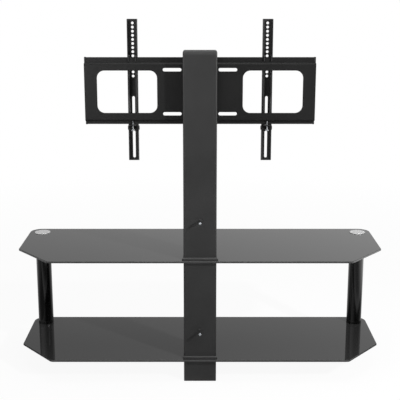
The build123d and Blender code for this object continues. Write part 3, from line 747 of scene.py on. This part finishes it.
# %% Cable pegs and their tips
PEG_SHANK = 4.2
PEG_FLANGE = 6.0
PEG_SCREW = 2.5
PEG_SCREW_LENGTH = 14.0
PEG_SCREW_PITCH = 0.8
PEG_END = 0.3
TIP_RADIUS = 3.75
TIP_DOME = 2.0

# The flange and its cove: heights above the column's back, and radii.
PEG_PROFILE = [(0, PEG_SCREW), (0, PEG_FLANGE - 0.1), (0.8, PEG_FLANGE), (1.25, PEG_FLANGE - 0.25)]
PEG_PROFILE += [(1.5, PEG_FLANGE - 0.8), (1.5, PEG_SHANK + 0.5), (1.7, PEG_SHANK + 0.15), (2.1, PEG_SHANK)]

for level in ("upper", "lower"):
    node = f"{level}_cable_peg"
    low, high = (corner[1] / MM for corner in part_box(node))
    column_back = low + PEG_SCREW_LENGTH
    rings = [(low, PEG_SCREW - 0.5)] + thread(low, column_back - 1, PEG_SCREW, PEG_SCREW_PITCH)
    rings += [(column_back + rise, radius) for rise, radius in PEG_PROFILE]
    rings += [(high - PEG_END, PEG_SHANK), (high, PEG_SHANK - PEG_END)]
    peg = turned(f"{level}_cable_peg_turned", rings)
    fit_out(lay(peg, (0, 0, middle(node, 2)), (-90, 0, 0)), node)

    node = f"{level}_peg_tip"
    low, high = (corner[1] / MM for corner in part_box(node))
    dome_foot = high - TIP_DOME
    rings = [(low, TIP_RADIUS - 0.3), (low + 0.4, TIP_RADIUS), (dome_foot, TIP_RADIUS)]
    rings += soft_rim(dome_foot, TIP_RADIUS, 1.85, 1.9) + [(high - 0.03, 1.0), (high, 0.4)]
    tip = turned(f"{level}_peg_tip_turned", rings)
    fit_out(lay(tip, (0, 0, middle(node, 2)), (-90, 0, 0)), node)

# %% [markdown]
# ## Softened edges
#
# No moulded or folded piece has a knife edge: its edges are rounded by a few tenths of a millimetre, and
# each one shows as a thin line of light. The moulded collars and foot plug, and the folded plate and
# rails, already have the right shape and could only be modelled again as they are. So a copy of the solid
# is merged into clean faces, and a Bevel modifier rounds its sharp edges. Only the angle decides which
# edges are sharp. A Weighted Normal modifier then lets the large faces keep their flat shading right up
# to the rounding.


# %% Round the sharp edges of a copy
MERGE_DISTANCE = 0.00001
FLAT_ANGLE = 1
SHARP_ANGLE = 35


def softened(node, radius):
    """A copy of a solid with its sharp edges rounded by a radius in millimetres."""
    deselect()
    piece = bpy.data.objects.new(f"{node}_softened", nodes[node].data.copy())
    bpy.context.scene.collection.objects.link(piece)
    piece.select_set(True)
    bpy.context.view_layer.objects.active = piece
    bpy.ops.object.mode_set(mode="EDIT")
    bpy.ops.mesh.select_all(action="SELECT")
    bpy.ops.mesh.remove_doubles(threshold=MERGE_DISTANCE)
    bpy.ops.mesh.dissolve_limited(angle_limit=math.radians(FLAT_ANGLE))
    bpy.ops.object.mode_set(mode="OBJECT")
    bevel = piece.modifiers.new("rounding", "BEVEL")
    bevel.width = radius * MM
    bevel.segments = 2
    bevel.limit_method = "ANGLE"
    bevel.angle_limit = math.radians(SHARP_ANGLE)
    bpy.ops.object.modifier_apply(modifier=bevel.name)
    fit_out(piece, node)
    flat = piece.modifiers.new("flat faces stay flat", "WEIGHTED_NORMAL")
    flat.keep_sharp = True
    bpy.ops.object.modifier_apply(modifier=flat.name)
    return piece


# Each solid and how far its edges are rounded, in millimetres.
SOFT_EDGES = {
    "upper_column_collar": 0.5,
    "lower_column_collar": 0.5,
    "column_foot_plug": 0.5,
    "left_leg_collar": 0.5,
    "right_leg_collar": 0.5,
    "left_arm_rail": 0.25,
    "right_arm_rail": 0.25,
    "mount_plate": 0.3,
}
for node, radius in SOFT_EDGES.items():
    piece = softened(node, radius)
    if node.endswith("leg_collar"):
        dress(piece, collar_gloss)

# %% [markdown]
# ## A white studio
#
# The background is plain white. Black gloss shows nothing but its surroundings, so the surroundings are
# what is lit here. The wall beyond the stand, on the screen's side, is white, and dimmer towards +X and
# upwards. The room behind the camera is darker. So the black column stays black while the glass
# shelves mirror the bright wall. Real walls could be built round the stand, but they would cast light and
# shadow of their own: the sky can look one way in a mirror and another way as a light. As a light it is
# dimmer, so that it doesn't wash out the shadows.

# %% Surroundings
WALL_SEEN = 0.67
WALL_SLOPE = 0.67
WALL_FALL = 2.5
WALL_LEAST = 0.28
SHELF_VIEW = 0.284
ROOM_SEEN = 0.37
ROOM_SLOPE = 2.6
ROOM_MOST = 2.0
ROOM_BLEND = 0.3
SKY_LIGHT = 0.35

world = bpy.data.worlds.new("white_studio")
world.use_nodes = True
bpy.context.scene.world = world
sky = Graph(world.node_tree)
direction = sky.node("ShaderNodeTexCoord", "Generated")
across = sky.axis(direction, "X")
behind = sky.axis(direction, "Y")
up = sky.axis(direction, "Z")
wall = (WALL_SEEN - across * WALL_SLOPE) * (1 - (up - SHELF_VIEW) * WALL_FALL)
room_share = sky.share(behind, -ROOM_BLEND, ROOM_BLEND)
room = (ROOM_SEEN + across * ROOM_SLOPE).within(0.0, ROOM_MOST)
mirrored = wall.within(WALL_LEAST, 1.0) * (1 - room_share) + room * room_share
to_camera = sky.node("ShaderNodeLightPath", "Is Camera Ray")
to_gloss = sky.node("ShaderNodeLightPath", "Is Glossy Ray")
through = sky.node("ShaderNodeLightPath", "Is Transmission Ray")
strength = SKY_LIGHT + to_camera * (1.0 - SKY_LIGHT) + (to_gloss + through) * (mirrored - SKY_LIGHT)
background = world.node_tree.nodes["Background"]
background.inputs["Color"].default_value = grey(1.0)
sky.feed(background.inputs["Strength"], strength)
print("sky", SKY_LIGHT, "as a light")

# %% [markdown]
# ## The floor
#
# The floor is white, so that it runs into the background, and it glows a little, so that only the
# contact shadow stays on it. Seen from above, an upright gloss leg mirrors the floor around its foot.
# So the floor has a second look for reflections: grey, with two slanted light streaks, one for each leg,
# and with brighter ground out to the sides and beyond the stand. It could be lamps instead, but a lamp
# would also light the other pieces.

# %% Floor
FLOOR_SIZE = 14.0
FLOOR_GLOW = 0.93
FLOOR_LEFT = 1.3
FLOOR_RIGHT = 0.3
FLOOR_BEYOND = 0.6

# Where each brighter ground starts and where it is full, in metres: left, right and beyond the stand, and
# far out, where the floor runs into the background.
LEFT_REACH = (-0.95, -1.4)
RIGHT_REACH = (1.0, 1.4)
BEYOND_REACH = (0.0, -0.6)
FAR_REACH = (1.2, 3.0)

# Which way the streaks are crossed, where that starts and ends in metres, and the greys on the way: the
# first bright step is the left leg's streak, and the second is the right leg's.
STREAK_X = 0.57
STREAK_Y = -0.82
STREAK_START = -0.8
STREAK_END = 0.1
STREAK_GREYS = [(0.0, 0.33), (0.08, 0.35), (0.14, 0.65), (0.24, 0.65), (0.33, 0.05), (0.5, 0.1)]
STREAK_GREYS += [(0.62, 0.33), (0.72, 0.35), (0.78, 0.65), (0.87, 0.65), (0.97, 0.12)]

deselect()
bpy.ops.mesh.primitive_plane_add(size=FLOOR_SIZE, location=(0, 0, 0))
floor = bpy.context.object
floor.name = "studio_floor"
floor_paint = Finish("white_studio_floor", Base_Color=grey(0.9), Roughness=0.9, Specular_IOR_Level=0.0)
seen = floor_paint.node("ShaderNodeLightPath", "Is Camera Ray")
mirrored = floor_paint.node("ShaderNodeLightPath", "Is Glossy Ray")
through = floor_paint.node("ShaderNodeLightPath", "Is Transmission Ray")
across = floor_paint.axis(floor_paint.place, "X")
behind = floor_paint.axis(floor_paint.place, "Y")
beyond = floor_paint.share(behind, *BEYOND_REACH)
left = floor_paint.share(across, *LEFT_REACH)
right = floor_paint.share(across, *RIGHT_REACH)
crossing = floor_paint.share(across * STREAK_X + behind * STREAK_Y, STREAK_START, STREAK_END)
streaks = floor_paint.axis(floor_paint.ramp(crossing, *STREAK_GREYS), "X")
tone = streaks + left * FLOOR_LEFT + right * FLOOR_RIGHT + beyond * FLOOR_BEYOND
level = seen + through + mirrored * tone
distance = (across * across + behind * behind) ** 0.5
far = floor_paint.share(distance, *FAR_REACH)
glow = floor_paint.node("ShaderNodeEmission", "Emission", {"Strength": level})
share = (seen + through) * (FLOOR_GLOW + far * (1 - FLOOR_GLOW)) + mirrored
paint = Socket(floor_paint.tree, floor_paint.shader.outputs[0])
mixed = floor_paint.node("ShaderNodeMixShader", "Shader", {0: share, 1: paint, 2: glow})
floor_paint.feed(floor_paint.tree.nodes["Material Output"].inputs["Surface"], mixed)
dress(floor, floor_paint)
print("floor", FLOOR_SIZE, "m wide")

# %% [markdown]
# ## Lamps
#
# A small key lamp high on one side makes the crisp shadows and highlights, a soft fill lamp stands beside
# the camera, and a broad lamp overhead lights the shelves and the tops of the pieces. Point lamps could
# stand in the same places, but square ones show as soft boxes in the gloss and soften the shadows.


# %% Lamps
def soft_box(name, place, target, size, power):
    """A square lamp that shines from one place towards another."""
    direction = Vector(target) - Vector(place)
    bpy.ops.object.light_add(
        type="AREA", location=place, rotation=direction.to_track_quat("-Z", "Y").to_euler()
    )
    lamp = bpy.context.object
    lamp.name = name
    lamp.data.shape = "SQUARE"
    lamp.data.size = size
    lamp.data.energy = power
    return lamp


soft_box("key_lamp", (-1.62, 1.64, 1.57), target=(0, 0.15, 0.6), size=0.12, power=53.0)
soft_box("fill_lamp", (0.95, 3.2, 0.8), target=(0, 0.1, 0.8), size=0.7, power=5.5)
soft_box("top_lamp", (0.0, 0.6, 3.4), target=(0, 0.1, 0.6), size=1.6, power=30.0)
print("three lamps")

# %% [markdown]
# ## The view transform
#
# The colours are shown with the Standard view transform.

# %% Set the view transform
bpy.context.scene.view_settings.view_transform = "Standard"
